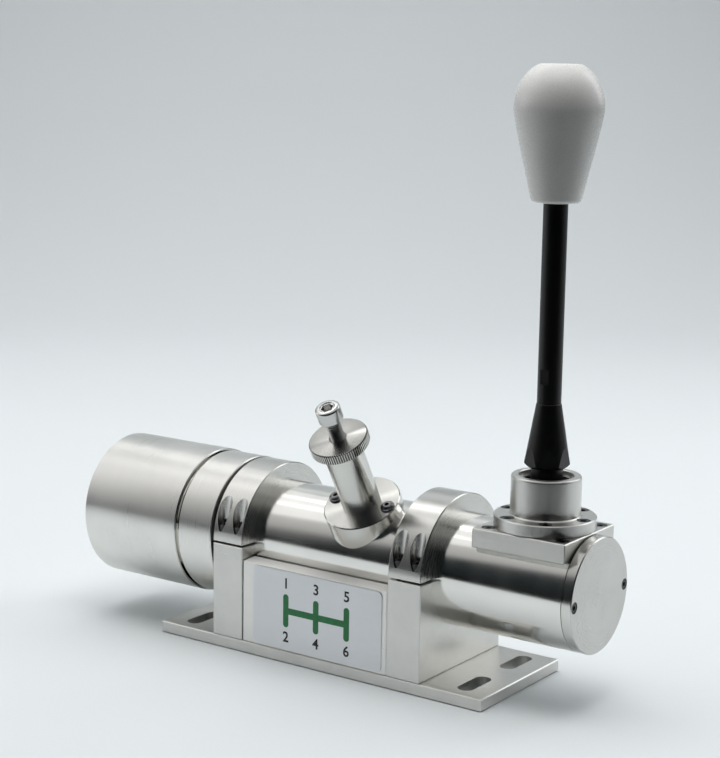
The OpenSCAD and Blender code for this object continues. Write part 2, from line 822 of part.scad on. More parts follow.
// Wound spring as one tube along a helix
module detent_spring() {
  sides = 6;
  steps = spring_curls * 8;
  function mid(i) = [coil_r * cos(i * 45), coil_r * sin(i * 45),
    spring_low + (spring_high - spring_low) * i / steps];
  function skin(i, k) = mid(i) + [wire_r * cos(k * 60) * cos(i * 45), wire_r * cos(k * 60) * sin(i * 45),
    wire_r * sin(k * 60)];
  points = [for (i = [0:steps], k = [0:sides - 1]) skin(i, k)];
  last = steps * sides;
  faces = concat(
    [for (i = [0:steps - 1], k = [0:sides - 1])
      [i * sides + k, (i + 1) * sides + k, (i + 1) * sides + (k + 1) % sides]],
    [for (i = [0:steps - 1], k = [0:sides - 1])
      [i * sides + k, (i + 1) * sides + (k + 1) % sides, i * sides + (k + 1) % sides]],
    [[for (k = [0:sides - 1]) k]],
    [[for (k = [0:sides - 1]) last + sides - 1 - k]]);
  color(steel) on_plunger(0) polyhedron(points = points, faces = faces);
}

module pivot_pin() {
  color(steel) translate([lever_x, pin_reach, pivot_z]) rotate([90, 0, 0]) cylinder(r = pin_r, h = 2 * pin_reach);
}

module lever_stem() {
  color(steel) translate([lever_x, 0, pivot_z]) difference() {
    union() {
      sphere(r = ball_r);
      rotate_extrude() polygon([[0, -finger_arm - 2.5], [stem_pin_r, -finger_arm - 2.5],
        [stem_pin_r, -finger_arm + finger_ball_r - 0.6], [stem_low_r, -finger_arm + finger_ball_r - 0.6],
        [stem_low_r, -finger_arm + 9], [stem_high_r, -ball_r - 2], [stem_high_r, 0], [neck_r, 0],
        [neck_r, 15], [stem_stud_r, 15], [stem_stud_r, 15 + stem_stud_len], [0, 15 + stem_stud_len]]);
    }
    translate([0, ball_r, 0]) rotate([90, 0, 0]) cylinder(r = pin_r + running_fit, h = 2 * ball_r);
  }
}

module finger_ball() {
  color(steel) translate([lever_x, 0, pivot_z - finger_arm]) difference() {
    sphere(r = finger_ball_r);
    translate([0, 0, -2.5]) cylinder(r = stem_pin_r + seat_fit, h = 2 * finger_ball_r);
    translate([0, 0, finger_ball_r - 0.6]) cylinder(r = finger_ball_r, h = over);
  }
}

module lever_base() {
  top_r = lever_rod_d / 2;
  color(black) translate([lever_x, 0, base_z]) difference() {
    intersection() {
      rotate_extrude() polygon([[0, 0], [base_low_r - 2, 0], [base_low_r, 1.6], [base_low_r, 2.4],
        [top_r + 0.25, base_len - 0.6], [top_r, base_len - 0.3], [top_r, base_len], [0, base_len]]);
      rotate([0, 0, 30]) cylinder(d = base_flats / cos(30), h = base_len, $fn = 6);
    }
    translate([0, 0, -over]) cylinder(r = stem_stud_r + seat_fit, h = stem_stud_len + over + 0.3);
    translate([0, 0, base_len - rod_stud_len - 0.3]) cylinder(r = rod_stud_r + seat_fit, h = rod_stud_len + over);
  }
}

module lever_rod() {
  r = lever_rod_d / 2;
  flat = r - 0.45;
  color(black) translate([lever_x, 0, base_top_z]) difference() {
    rotate_extrude()
      polygon([[0, -rod_stud_len], [rod_stud_r, -rod_stud_len], [rod_stud_r, 0], [r - 0.2, 0], [r, 0.2],
        [r, lever_rod_len], [rod_stud_r, lever_rod_len], [rod_stud_r, lever_rod_len + knob_bore_len],
        [0, lever_rod_len + knob_bore_len]]);
    for (s = [-1, 1]) translate([-r, s * (flat + r) - r, r * 1.6]) cube([2 * r, 2 * r, r * 1.2]);
  }
}

// Point of a cubic curve at t
function curve(a, b, c, d, t) =
  a * pow(1 - t, 3) + 3 * b * t * pow(1 - t, 2) + 3 * c * t * t * (1 - t) + d * pow(t, 3);

module knob() {
  r = knob_d / 2;
  h = knob_h;
  foot = [0.59 * r, 0.05 * h];
  belly = [0.995 * r, 0.66 * h];
  crown = [0.468 * r, h];
  round_r = 0.13 * r;
  low = [for (i = [0:5]) [foot[0] - round_r + round_r * sin(i * 18), round_r * 1.15 * (1 - cos(i * 18))]];
  side = [for (i = [0:14]) curve(foot, [0.73 * r, 0.242 * h], [0.935 * r, 0.52 * h], belly, i / 14)];
  top = [for (i = [1:14]) curve(belly, [1.02 * r, 0.79 * h], [0.738 * r, 0.914 * h], crown, i / 14)];
  color(white) translate([lever_x, 0, knob_z]) difference() {
    rotate_extrude() polygon(concat([[0, 0]], low, side, top, [[0, h]]));
    translate([0, 0, -over]) cylinder(r = rod_stud_r + seat_fit, h = knob_bore_len + over + 0.3);
  }
}

// Two flats on a round section
module key_shape(fit) {
  intersection() {
    circle(r = key_r + fit);
    square([2 * (key_flat + fit), 3 * key_r], center = true);
  }
}

module select_sleeve() {
  color(steel) difference() {
    on_axis(sleeve_left) bevel_disc(bearing_bore_r, sleeve_right - sleeve_left, 0.4);
    on_axis(sleeve_floor) linear_extrude(height = sleeve_right - sleeve_floor + over) key_shape(running_fit);
  }
}

module select_magnet() {
  color(steel) on_axis(sleeve_left - magnet_t) cylinder(r = 4, h = magnet_t);
}

module selector_rod() {
  color(steel) difference() {
    union() {
      on_axis(rod_step) bevel_disc(rod_r, rod_right - rod_step, edge);
      on_axis(rod_left) linear_extrude(height = rod_step - rod_left + over) key_shape(0);
    }
    for (s = [-1, 0, 1]) on_axis(plunger_x + s * shift_stroke)
      rotate_extrude() translate([rod_r + groove_r - groove_depth, 0]) circle(r = groove_r);
    on_axis(finger_x) rotate([0, 90, 0]) translate([0, 0, -rod_d]) cylinder(r = finger_d / 2 + seat_fit, h = 2 * rod_d);
    translate([head_x, 0, axis_z - rod_d]) cylinder(r = m5_d / 2 + screw_fit, h = rod_d - rod_r + 1.5);
  }
}

module selector_head() {
  color(steel) difference() {
    on_axis(head_x - head_len / 2) bevel_ring(head_r, rod_r + seat_fit, head_len, edge);
    translate([head_x, 0, axis_z + rod_r + 0.6]) cylinder(r = finger_ball_r + slot_fit, h = head_r);
    translate([head_x, 0, axis_z - 2 * head_r]) cylinder(r = m5_d / 2 + screw_fit, h = 2 * head_r);
  }
}

module head_set_screw() {
  color(black) translate([head_x, 0, axis_z - rod_r + 1.5]) rotate([180, 0, 0]) difference() {
    cylinder(d = m5_d, h = head_r - rod_r + 1);
    translate([0, 0, head_r - rod_r - 2]) cylinder(d = 2.9, h = 4, $fn = 6);
  }
}

module gate_finger() {
  color(steel) translate([finger_x, 0, axis_z - 14]) cylinder(d = finger_d, h = 14 + gate_r + 0.5);
}

module shift_magnet() {
  color(steel) translate([finger_x, 0, axis_z - 18]) cylinder(d = finger_d, h = 4);
}

module detent_ball() {
  color(steel) on_plunger(detent_rise) sphere(r = detent_r);
}

module spring_seat() {
  color(steel) on_plunger(seat_top - seat_t) bevel_disc(guide_bore - running_fit, seat_t, 0.4);
}

module adjuster_screw() {
  color(steel) on_plunger(adjuster_seat)
    cap_screw(2 * m8_r, adjuster_seat - seat_top, 2 * m8_head_r, m8_head_h);
}

module knurled_nut() {
  r = nut_d / 2;
  c = 0.5;
  color(metal) on_plunger(nut_bottom) difference() {
    union() {
      translate([0, 0, c]) linear_extrude(height = nut_t - 2 * c)
        polygon([for (i = [0:2 * knurl_count - 1]) (r - knurl_depth * (i % 2))
          * [cos(i * 180 / knurl_count), sin(i * 180 / knurl_count)]]);
      bevel_disc(r - knurl_depth, nut_t, 0.3);
    }
    translate([0, 0, -over]) cylinder(r = m8_r + running_fit, h = nut_t + 2 * over);
    translate([0, 0, nut_t - 0.6]) cylinder(r1 = m8_r, r2 = m8_r + 0.7, h = 0.61);
  }
}

base_plate();
base_screws();
panel_screws();
left_clamp_block();
right_clamp_block();
left_clamp_cap();
right_clamp_cap();
clamp_screws();
main_tube();
end_cap();
end_cap_screws();
flange_ring();
ring_set_screws();
sensor_can();
can_screws();
front_panel();
rear_panel();
name_label();
lever_pad();
pad_screws();
pivot_housing();
flange_screws();
lower_cup();
upper_cup();
retaining_ring();
bush_carriers();
rod_bushes();
gate_sleeve();
gate_tie_screws();
bearing_plate();
bearing_outer_ring();
bearing_balls();
standoffs();
board_spacers();
sensor_board();
shift_sensor_board();
data_socket();
plunger_housing();
plunger_screws();
detent_spring();
pivot_pin();
lever_stem();
finger_ball();
lever_base();
lever_rod();
knob();
select_sleeve();
bearing_inner_ring();
select_magnet();
selector_rod();
selector_head();
head_set_screw();
gate_finger();
shift_magnet();
detent_ball();
spring_seat();
adjuster_screw();
knurled_nut();
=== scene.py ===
import bpy
import math
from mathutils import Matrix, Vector


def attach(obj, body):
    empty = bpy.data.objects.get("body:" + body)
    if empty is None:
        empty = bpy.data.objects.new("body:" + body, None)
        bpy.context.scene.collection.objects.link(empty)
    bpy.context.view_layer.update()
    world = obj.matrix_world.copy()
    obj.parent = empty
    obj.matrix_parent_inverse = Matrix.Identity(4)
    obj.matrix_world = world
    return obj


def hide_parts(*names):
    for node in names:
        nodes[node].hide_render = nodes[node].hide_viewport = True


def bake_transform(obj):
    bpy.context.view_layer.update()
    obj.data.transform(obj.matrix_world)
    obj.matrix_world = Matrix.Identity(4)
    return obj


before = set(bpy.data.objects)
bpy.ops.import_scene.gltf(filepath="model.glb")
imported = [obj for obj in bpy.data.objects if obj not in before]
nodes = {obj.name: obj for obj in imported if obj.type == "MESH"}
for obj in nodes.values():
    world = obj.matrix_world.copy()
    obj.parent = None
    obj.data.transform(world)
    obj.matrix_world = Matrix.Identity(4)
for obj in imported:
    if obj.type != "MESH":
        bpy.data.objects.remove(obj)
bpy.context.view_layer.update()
print("frame loaded with", len(nodes), "nodes")

mm = 0.001
samePoint = 0.01 * mm
quarterTurn = math.pi / 2
tubeCentre = (0.0, 0.0, 59.4 * mm)
leverCentre = (116.8 * mm, 0.0, 106.0 * mm)
plungerCentre = (15.5 * mm, 0.0, 59.4 * mm)
plungerLean = math.radians(30)
plungerAxis = (0.0, -math.sin(plungerLean), math.cos(plungerLean))
alongTube = (1.0, 0.0, 0.0)
upright = (0.0, 0.0, 1.0)


def clearSelection():
    if bpy.context.object and bpy.context.object.mode != "OBJECT":
        bpy.ops.object.mode_set(mode="OBJECT")
    bpy.ops.object.select_all(action="DESELECT")


def pick(piece):
    clearSelection()
    piece.select_set(True)
    bpy.context.view_layer.objects.active = piece


def applyPlace(piece):
    pick(piece)
    bpy.ops.object.transform_apply(location=True, rotation=True, scale=True)


def applyModifier(piece, kind, **settings):
    pick(piece)
    mod = piece.modifiers.new(kind.lower(), kind)
    for key, value in settings.items():
        setattr(mod, key, value)
    bpy.ops.object.modifier_apply(modifier=mod.name)


def selectWhere(piece, test, mode):
    # leaves the piece in edit mode with the chosen points or edges selected
    bpy.ops.object.mode_set(mode="EDIT")
    bpy.ops.mesh.select_mode(type=mode)
    bpy.ops.mesh.select_all(action="DESELECT")
    bpy.ops.object.mode_set(mode="OBJECT")
    points = piece.data.vertices
    if mode == "VERT":
        for point in points:
            point.select = test(point.co)
    else:
        for edge in piece.data.edges:
            edge.select = test(*(points[i].co for i in edge.vertices))
    bpy.ops.object.mode_set(mode="EDIT")


def editAll():
    bpy.ops.object.mode_set(mode="EDIT")
    bpy.ops.mesh.select_all(action="SELECT")


def faceOut():
    bpy.ops.mesh.select_all(action="SELECT")
    bpy.ops.mesh.normals_make_consistent(inside=False)
    bpy.ops.object.mode_set(mode="OBJECT")


# Finishes, procedural and on each piece's own coordinates
class Finish:
    def __init__(self, name):
        self.mat = bpy.data.materials.new(name)
        self.mat.use_nodes = True
        self.tree = self.mat.node_tree
        self.shader = self.tree.nodes["Principled BSDF"]
        self.texture = self.add("ShaderNodeTexCoord")
        self.coord = self.texture.outputs["Object"]

    def add(self, kind, **settings):
        made = self.tree.nodes.new(kind)
        for key, value in settings.items():
            setattr(made, key, value)
        return made

    def join(self, a, b):
        self.tree.links.new(a, b)

    def put(self, **values):
        for key, value in values.items():
            self.shader.inputs[key.replace("_", " ")].default_value = value

    def vector(self, operation, a, b=None):
        made = self.add("ShaderNodeVectorMath", operation=operation)
        for socket, value in zip(made.inputs, (a, b)):
            if value is None:
                continue
            if isinstance(value, tuple):
                socket.default_value = value
            else:
                self.join(value, socket)
        return made.outputs["Value" if operation in ("DOT_PRODUCT", "LENGTH") else "Vector"]

    def stretched(self, scale):
        made = self.add("ShaderNodeMapping")
        made.inputs["Scale"].default_value = scale
        self.join(self.coord, made.inputs["Vector"])
        return made.outputs["Vector"]

    def noise(self, vector, scale, detail=3.0, rough=0.55):
        made = self.add("ShaderNodeTexNoise")
        made.inputs["Scale"].default_value = scale
        made.inputs["Detail"].default_value = detail
        made.inputs["Roughness"].default_value = rough
        self.join(vector, made.inputs["Vector"])
        return made.outputs["Fac"]

    def span(self, value, low, high, fromLow=0.3, fromHigh=0.7):
        made = self.add("ShaderNodeMapRange")
        made.inputs["From Min"].default_value = fromLow
        made.inputs["From Max"].default_value = fromHigh
        made.inputs["To Min"].default_value = low
        made.inputs["To Max"].default_value = high
        self.join(value, made.inputs["Value"])
        return made.outputs["Result"]

    def math(self, operation, a, b=0.0):
        made = self.add("ShaderNodeMath", operation=operation)
        for socket, value in zip(made.inputs, (a, b)):
            if isinstance(value, (int, float)):
                socket.default_value = value
            else:
                self.join(value, socket)
        return made.outputs["Value"]

    def tint(self, value, look):
        made = self.add("ShaderNodeValToRGB")
        for end, place, colour in zip(made.color_ramp.elements, (0.3, 0.7), (look["dark"], look["light"])):
            end.position = place
            end.color = (*colour, 1)
        self.join(value, made.inputs["Fac"])
        self.join(made.outputs["Color"], self.shader.inputs["Base Color"])

    def shade(self, mask, level):
        made = self.add("ShaderNodeMix", data_type="RGBA", blend_type="MULTIPLY")
        base = self.shader.inputs["Base Color"]
        self.join(base.links[0].from_socket, made.inputs["A"])
        made.inputs["B"].default_value = (level, level, level, 1)
        self.join(mask, made.inputs["Factor"])
        self.join(made.outputs["Result"], base)

    def within(self, value, low, high, soft):
        up = self.span(value, 0.0, 1.0, fromLow=low - soft, fromHigh=low)
        return self.math("MULTIPLY", up, self.span(value, 1.0, 0.0, fromLow=high, fromHigh=high + soft))

    def bump(self, value, look):
        made = self.add("ShaderNodeBump")
        made.inputs["Strength"].default_value = look["bump"]
        made.inputs["Distance"].default_value = look["depth"]
        self.join(value, made.inputs["Height"])
        self.join(made.outputs["Normal"], self.shader.inputs["Normal"])


def turnedFinish(name, axis, centre, look, hollow=None):
    # lathe rings run round the axis on both the skin and the end faces
    f = Finish(name)
    fromCentre = f.vector("SUBTRACT", f.coord, centre)
    along = f.vector("DOT_PRODUCT", fromCentre, axis)
    axial = f.add("ShaderNodeVectorMath", operation="SCALE")
    axial.inputs[0].default_value = axis
    f.join(along, axial.inputs["Scale"])
    radial = f.vector("SUBTRACT", fromCentre, axial.outputs["Vector"])
    reach = f.vector("LENGTH", radial)
    ringCoord = f.add("ShaderNodeCombineXYZ")
    f.join(along, ringCoord.inputs["X"])
    f.join(reach, ringCoord.inputs["Y"])
    rings = f.noise(ringCoord.outputs["Vector"], look["rings"], detail=4.0, rough=0.7)
    cloud = f.noise(f.coord, look["cloud"], detail=2.0)
    f.tint(cloud, look)
    # faced ends are coarser than the skin
    facing = f.vector("DOT_PRODUCT", f.texture.outputs["Normal"], axis)
    onFace = f.span(f.math("ABSOLUTE", facing), 0.0, 1.0, fromLow=0.6, fromHigh=0.8)
    uneven = f.span(cloud, -look["uneven"], look["uneven"])
    rough = f.math("ADD", f.span(rings, look["low"], look["high"]), uneven)
    rough = f.math("ADD", rough, f.math("MULTIPLY", onFace, look["faced"]))
    # a hollow may be darker, as painted shade, and keep only a share of the roughness
    if hollow:
        inLength = f.within(along, hollow["low"], hollow["high"], hollow["soft"])
        inRing = f.within(reach, hollow["inner"], hollow["outer"], hollow["soft"])
        inside = f.math("MULTIPLY", inLength, inRing)
        f.shade(inside, hollow["shade"])
        rough = f.math("MULTIPLY", rough, f.span(inside, 1.0, hollow["keep"], fromLow=0.0, fromHigh=1.0))
    # the colour of faced ends is darkened here as painted shade
    f.shade(onFace, look["facedPaintedShade"])
    f.join(rough, f.shader.inputs["Roughness"])
    f.bump(rings, look)
    spinWay = f.vector("CROSS_PRODUCT", radial, axis)
    toWorld = f.add("ShaderNodeVectorTransform", vector_type="VECTOR", convert_from="OBJECT",
                    convert_to="WORLD")
    f.join(f.vector("NORMALIZE", spinWay), toWorld.inputs["Vector"])
    f.join(toWorld.outputs["Vector"], f.shader.inputs["Tangent"])
    f.put(Metallic=1.0, Anisotropic=look["stretch"], Anisotropic_Rotation=0.25)
    return f.mat


def milledFinish(name, look):
    # fine straight grain along the tube's direction, with a few longer scratches
    f = Finish(name)
    grain = f.noise(f.stretched((look["long"], look["fine"], look["fine"])), 1.0, detail=4.0, rough=0.65)
    scratch = f.noise(f.stretched(look["scratch"]), 1.0, detail=1.0)
    cloud = f.noise(f.coord, look["cloud"])
    f.tint(cloud, look)
    inScratch = f.span(scratch, look["scratchRough"], 0.0, fromLow=0.66, fromHigh=0.72)
    rough = f.math("ADD", f.span(grain, look["low"], look["high"]), inScratch)
    rough = f.math("ADD", rough, f.span(cloud, -look["uneven"], look["uneven"]))
    f.put(Metallic=1.0)
    # a sawn top edge is dull
    if look["sawnTop"]:
        upward = f.vector("DOT_PRODUCT", f.texture.outputs["Normal"], upright)
        rough = f.math("ADD", rough, f.span(upward, 0.0, look["sawnTop"], fromLow=0.85, fromHigh=0.95))
        metal = f.span(upward, 1.0, look["sawnMetal"], fromLow=0.85, fromHigh=0.95)
        f.join(metal, f.shader.inputs["Metallic"])
    f.join(rough, f.shader.inputs["Roughness"])
    f.bump(grain, look)
    return f.mat


def plainFinish(name, look):
    f = Finish(name)
    speck = f.noise(f.coord, look["speck"])
    f.tint(f.noise(f.coord, look["cloud"], detail=2.0), look)
    f.join(f.span(speck, look["low"], look["high"]), f.shader.inputs["Roughness"])
    f.bump(speck, look)
    f.put(Metallic=look["metal"])
    return f.mat


# a look's face darkening dims the colour of faced ends as painted shade; 1.0 leaves them as they are
turnedLook = {"rings": 1500.0, "cloud": 30.0, "dark": (0.755, 0.75, 0.72), "light": (0.845, 0.838, 0.805),
              "low": 0.11, "high": 0.19, "uneven": 0.03, "bump": 0.06, "depth": 0.05 * mm, "stretch": 0.3,
              "faced": 0.0, "facedPaintedShade": 1.0}
canLook = dict(turnedLook, low=0.27, high=0.37, bump=0.05, stretch=0.6)
faceLook = dict(turnedLook, dark=(0.63, 0.625, 0.6), light=(0.71, 0.705, 0.675), low=0.13, high=0.19,
                bump=0.012, stretch=0.4, faced=0.12, facedPaintedShade=0.84)
clampLook = dict(faceLook, low=0.21, high=0.27, faced=0.04, facedPaintedShade=0.9)
plungerLook = dict(turnedLook, dark=(0.67, 0.665, 0.635), light=(0.75, 0.745, 0.71), low=0.1, high=0.15,
                   bump=0.02, stretch=1.0, faced=0.1, facedPaintedShade=0.62)
collarLook = dict(turnedLook, dark=(0.64, 0.637, 0.615), light=(0.72, 0.717, 0.69), low=0.32, high=0.4,
                  bump=0.03)
screwLook = dict(turnedLook, dark=(0.52, 0.52, 0.51), light=(0.62, 0.62, 0.61), low=0.15, high=0.23,
                 bump=0.02, stretch=0.0)
# the parting groove between ring and can is polished and a little darker as painted shade, and the roots of
# the thread are darkened as painted shade
hollowSet = {"soft": 0.15 * mm, "inner": 0.0, "keep": 1.0}
grooveShadeAndPolish = dict(hollowSet, low=-95.6 * mm, high=-93.6 * mm, outer=40.2 * mm, shade=0.95, keep=0.15)
rootShadeSet = dict(hollowSet, low=60.0 * mm, high=92.2 * mm, outer=3.7 * mm, shade=0.2)
milledLook = {"long": 40.0, "fine": 1800.0, "scratch": (30.0, 900.0, 700.0), "scratchRough": 0.06,
              "cloud": 40.0, "dark": (0.63, 0.625, 0.6), "light": (0.73, 0.722, 0.69),
              "low": 0.24, "high": 0.34, "uneven": 0.04, "bump": 0.12, "depth": 0.04 * mm,
              "sawnTop": 0.0, "sawnMetal": 0.2}
panelLook = dict(milledLook, dark=(0.71, 0.705, 0.68), light=(0.81, 0.803, 0.775), sawnTop=0.32)
labelLook = dict(milledLook, fine=3500.0, dark=(0.72, 0.735, 0.75), light=(0.76, 0.775, 0.79),
                 low=0.34, high=0.44)
steelLook = {"speck": 1800.0, "cloud": 100.0, "dark": (0.5, 0.5, 0.51), "light": (0.6, 0.6, 0.61),
             "low": 0.18, "high": 0.3, "bump": 0.05, "depth": 0.03 * mm, "metal": 1.0}
bronzeLook = dict(steelLook, dark=(0.12, 0.085, 0.05), light=(0.17, 0.12, 0.07))
boltLook = dict(steelLook, speck=2200.0, cloud=200.0, dark=(0.05, 0.05, 0.052), light=(0.08, 0.08, 0.083),
                low=0.26, high=0.4)
buttonLook = dict(boltLook, dark=(0.15, 0.15, 0.153), light=(0.21, 0.21, 0.214), low=0.2, high=0.3)
leverLook = dict(steelLook, speck=2600.0, cloud=120.0, dark=(0.002, 0.002, 0.0022),
                 light=(0.004, 0.004, 0.0044), low=0.32, high=0.42, metal=0.2)
knobLook = dict(steelLook, speck=1400.0, cloud=25.0, dark=(0.77, 0.765, 0.745), light=(0.81, 0.805, 0.785),
                low=0.24, high=0.32, bump=0.03, metal=0.0)
boardLook = dict(steelLook, speck=900.0, cloud=300.0, dark=(0.01, 0.12, 0.05), light=(0.02, 0.17, 0.07),
                 low=0.3, high=0.42, metal=0.0)
greenLook = dict(steelLook, speck=3000.0, cloud=400.0, dark=(0.012, 0.16, 0.045), light=(0.016, 0.2, 0.06),
                 low=0.4, high=0.5, bump=0.02, metal=0.0)
blackLook = dict(greenLook, dark=(0.008, 0.008, 0.008), light=(0.014, 0.014, 0.014))

tubeMetal = turnedFinish("turnedTube", alongTube, tubeCentre, turnedLook)
canMetal = turnedFinish("turnedCan", alongTube, tubeCentre, canLook, grooveShadeAndPolish)
capMetal = turnedFinish("turnedEndFace", alongTube, tubeCentre, faceLook)
clampMetal = turnedFinish("boredClamp", alongTube, tubeCentre, clampLook)
collarMetal = turnedFinish("turnedCollar", upright, leverCentre, collarLook)
plungerMetal = turnedFinish("turnedPlunger", plungerAxis, plungerCentre, plungerLook)
stainless = turnedFinish("stainlessScrew", plungerAxis, plungerCentre, screwLook, rootShadeSet)
milledMetal = milledFinish("milledPlate", milledLook)
panelMetal = milledFinish("milledPanel", panelLook)
labelMetal = milledFinish("brushedLabel", labelLook)
blackBolt = plainFinish("blackBolt", boltLook)
buttonMetal = plainFinish("buttonScrew", buttonLook)
blackLever = plainFinish("satinBlackLever", leverLook)
whiteKnob = plainFinish("whiteKnob", knobLook)
groundSteel = plainFinish("groundSteel", steelLook)
bronze = plainFinish("sinteredBronze", bronzeLook)
boardGreen = plainFinish("boardGreen", boardLook)
greenInk = plainFinish("greenInk", greenLook)
blackInk = plainFinish("blackInk", blackLook)

wears = {
    "main_tube": tubeMetal, "gate_sleeve": tubeMetal, "bush_carriers": tubeMetal,
    "flange_ring": canMetal, "sensor_can": canMetal, "end_cap": capMetal, "bearing_plate": capMetal,
    "left_clamp_cap": clampMetal, "right_clamp_cap": clampMetal, "left_clamp_block": milledMetal,
    "right_clamp_block": milledMetal, "base_plate": milledMetal, "lever_pad": milledMetal,
    "front_panel": panelMetal, "rear_panel": panelMetal, "name_label": labelMetal,
    "pivot_housing": collarMetal, "plunger_housing": plungerMetal, "knurled_nut": plungerMetal,
    "adjuster_screw": stainless, "plunger_screws": buttonMetal, "lever_stem": blackLever,
    "lever_base": blackLever, "lever_rod": blackLever, "knob": whiteKnob,
    "lower_cup": bronze, "upper_cup": bronze, "rod_bushes": bronze,
    "sensor_board": boardGreen, "shift_sensor_board": boardGreen,
}
for nodeName, node in nodes.items():
    unnamed = blackBolt if nodeName.endswith(("screw", "screws")) else groundSteel
    node.data.materials.clear()
    node.data.materials.append(wears.get(nodeName, unnamed))
print("finishes set on", len(nodes), "nodes")


# Modelled pieces
def latheUp(name, profile, sides, bored=False):
    # rings of one outline, drawn from a circle, with closed ends or a bore from end to end
    clearSelection()
    r, z = profile[0]
    bpy.ops.mesh.primitive_circle_add(vertices=sides, radius=r, fill_type="NOTHING", location=(0, 0, z))
    piece = bpy.context.object
    piece.name = name
    applyPlace(piece)
    bpy.ops.object.mode_set(mode="EDIT")
    bpy.ops.mesh.select_mode(type="VERT")
    bpy.ops.mesh.select_all(action="SELECT")
    for nextR, nextZ in profile[1:]:
        bpy.ops.mesh.extrude_region_move(TRANSFORM_OT_translate={"value": (0, 0, nextZ - z)})
        bpy.ops.transform.resize(value=(nextR / r, nextR / r, 1), center_override=(0, 0, nextZ))
        r, z = nextR, nextZ
    if bored:
        bpy.ops.mesh.select_all(action="DESELECT")
        bpy.ops.mesh.select_non_manifold()
        bpy.ops.mesh.bridge_edge_loops()
    bpy.ops.mesh.select_all(action="SELECT")
    bpy.ops.mesh.fill_holes(sides=0)
    faceOut()
    return piece


def mergeAndClose():
    editAll()
    bpy.ops.mesh.remove_doubles(threshold=samePoint)
    bpy.ops.mesh.fill_holes(sides=0)
    faceOut()


def smoothBy(piece, degrees):
    pick(piece)
    bpy.ops.object.shade_smooth_by_angle(angle=math.radians(degrees))


def standOnPlunger(piece):
    piece.rotation_euler = (plungerLean, 0, 0)
    piece.location = plungerCentre
    applyPlace(piece)


def wear(piece, finish):
    piece.data.materials.clear()
    piece.data.materials.append(finish)


def dress(piece, body, slot, finish, *replaced):
    wear(piece, finish)
    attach(piece, body)
    if replaced:
        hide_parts(*replaced)


def curveAt(points, t):
    a, b, c, d = (Vector(p) for p in points)
    return a * (1 - t) ** 3 + b * 3 * t * (1 - t) ** 2 + c * 3 * t * t * (1 - t) + d * t ** 3


# side and crown are curves in shares of the radius and the height
knobSet = {"radius": 22.2 * mm, "height": 67.4 * mm, "foot": 254.0 * mm, "footShare": 0.575,
           "edge": 2.6 * mm, "edgeSteps": 5,
           "side": ((0.588, 0.05), (0.76, 0.297), (1.01, 0.625), (1.01, 0.69)),
           "crown": ((1.01, 0.69), (1.01, 0.819), (0.807, 0.944), (0.455, 1.0)), "curveSteps": 14,
           "top": (0.435, 0.3, 0.16, 0.05), "dome": 0.2 * mm, "bore": 4.06 * mm, "boreDeep": 30.6 * mm,
           "tight": 0.3 * mm, "sides": 72, "smooth": 60}


def buildKnob(s):
    radius, height, edge, steps = s["radius"], s["height"], s["edge"], s["curveSteps"]
    # the bore for the rod's stud comes first, with close rings that keep its corners
    bore, deep, tight = s["bore"], s["boreDeep"], s["tight"]
    outline = [(bore, deep), (bore, deep - tight), (bore, tight), (bore, 0), (bore + tight, 0)]
    for i in range(s["edgeSteps"] + 1):
        a = quarterTurn * i / s["edgeSteps"]
        outline.append((s["footShare"] * radius - edge + edge * math.sin(a), edge - edge * math.cos(a)))
    points = [curveAt(s["side"], i / steps) for i in range(steps + 1)]
    points += [curveAt(s["crown"], i / steps) for i in range(1, steps + 1)]
    outline += [(p.x * radius, p.y * height) for p in points]
    rim = s["crown"][-1][0]
    outline += [(share * radius, height + s["dome"] * (rim - share)) for share in s["top"]]
    knob = latheUp("smoothKnob", [(r, s["foot"] + z) for r, z in outline], s["sides"])
    knob.location = (leverCentre[0], 0, 0)
    applyPlace(knob)
    applyModifier(knob, "SUBSURF", levels=1, render_levels=1)
    smoothBy(knob, s["smooth"])
    dress(knob, "lever", "white_plastic", whiteKnob, "knob")


buildKnob(knobSet)

nutSet = {"low": 74.72 * mm, "thick": 5.9 * mm, "radius": 15.95 * mm, "slope": 0.6 * mm,
          "brimWide": 0.25 * mm, "brimDrop": 0.08 * mm, "bore": 4.05 * mm, "sinkWide": 0.9 * mm,
          "sinkDeep": 1.0 * mm, "teeth": 80, "toothPoints": 4, "deep": 0.55 * mm, "smooth": 22,
          "knurlEnds": 0.4, "knurlBelow": 0.2 * mm, "knurlDepth": 0.45, "knurlPaintedShade": 0.3}


def buildNut(s):
    radius, low, slope, bore, deep = s["radius"], s["low"], s["slope"], s["bore"], s["deep"]
    top = low + s["thick"]
    brim = radius - slope
    profile = [(bore, low), (brim, low), (radius, low + slope), (radius, top - slope),
               (brim, top - s["brimDrop"]), (brim - s["brimWide"], top), (bore + s["sinkWide"], top),
               (bore, top - s["sinkDeep"])]
    sides = s["teeth"] * s["toothPoints"]
    nut = latheUp("knurledNut", profile, sides, bored=True)
    # every tooth is four points wide: two stay out and two go in
    step = 2 * math.pi / sides

    def inGroove(co):
        around = round(math.atan2(co.y, co.x) / step)
        return abs(math.hypot(co.x, co.y) - radius) < samePoint and around % s["toothPoints"] in (0, 1)
    selectWhere(nut, inGroove, "VERT")
    share = (radius - deep) / radius
    bpy.ops.transform.resize(value=(share, share, 1), center_override=(0, 0, low))
    bpy.ops.object.mode_set(mode="OBJECT")
    standOnPlunger(nut)
    smoothBy(nut, s["smooth"])
    # the knurl's grooves are darkened as painted shade
    ends = s["knurlEnds"] * slope
    knurl = dict(hollowSet, low=low + ends, high=top - ends, inner=radius - deep - s["knurlBelow"],
                 outer=radius - s["knurlDepth"] * deep, shade=s["knurlPaintedShade"])
    rimMetal = turnedFinish("knurledRim", plungerAxis, plungerCentre, plungerLook, knurl)
    dress(nut, "lock_nut", "machined_aluminium", rimMetal, "knurled_nut")


buildNut(nutSet)

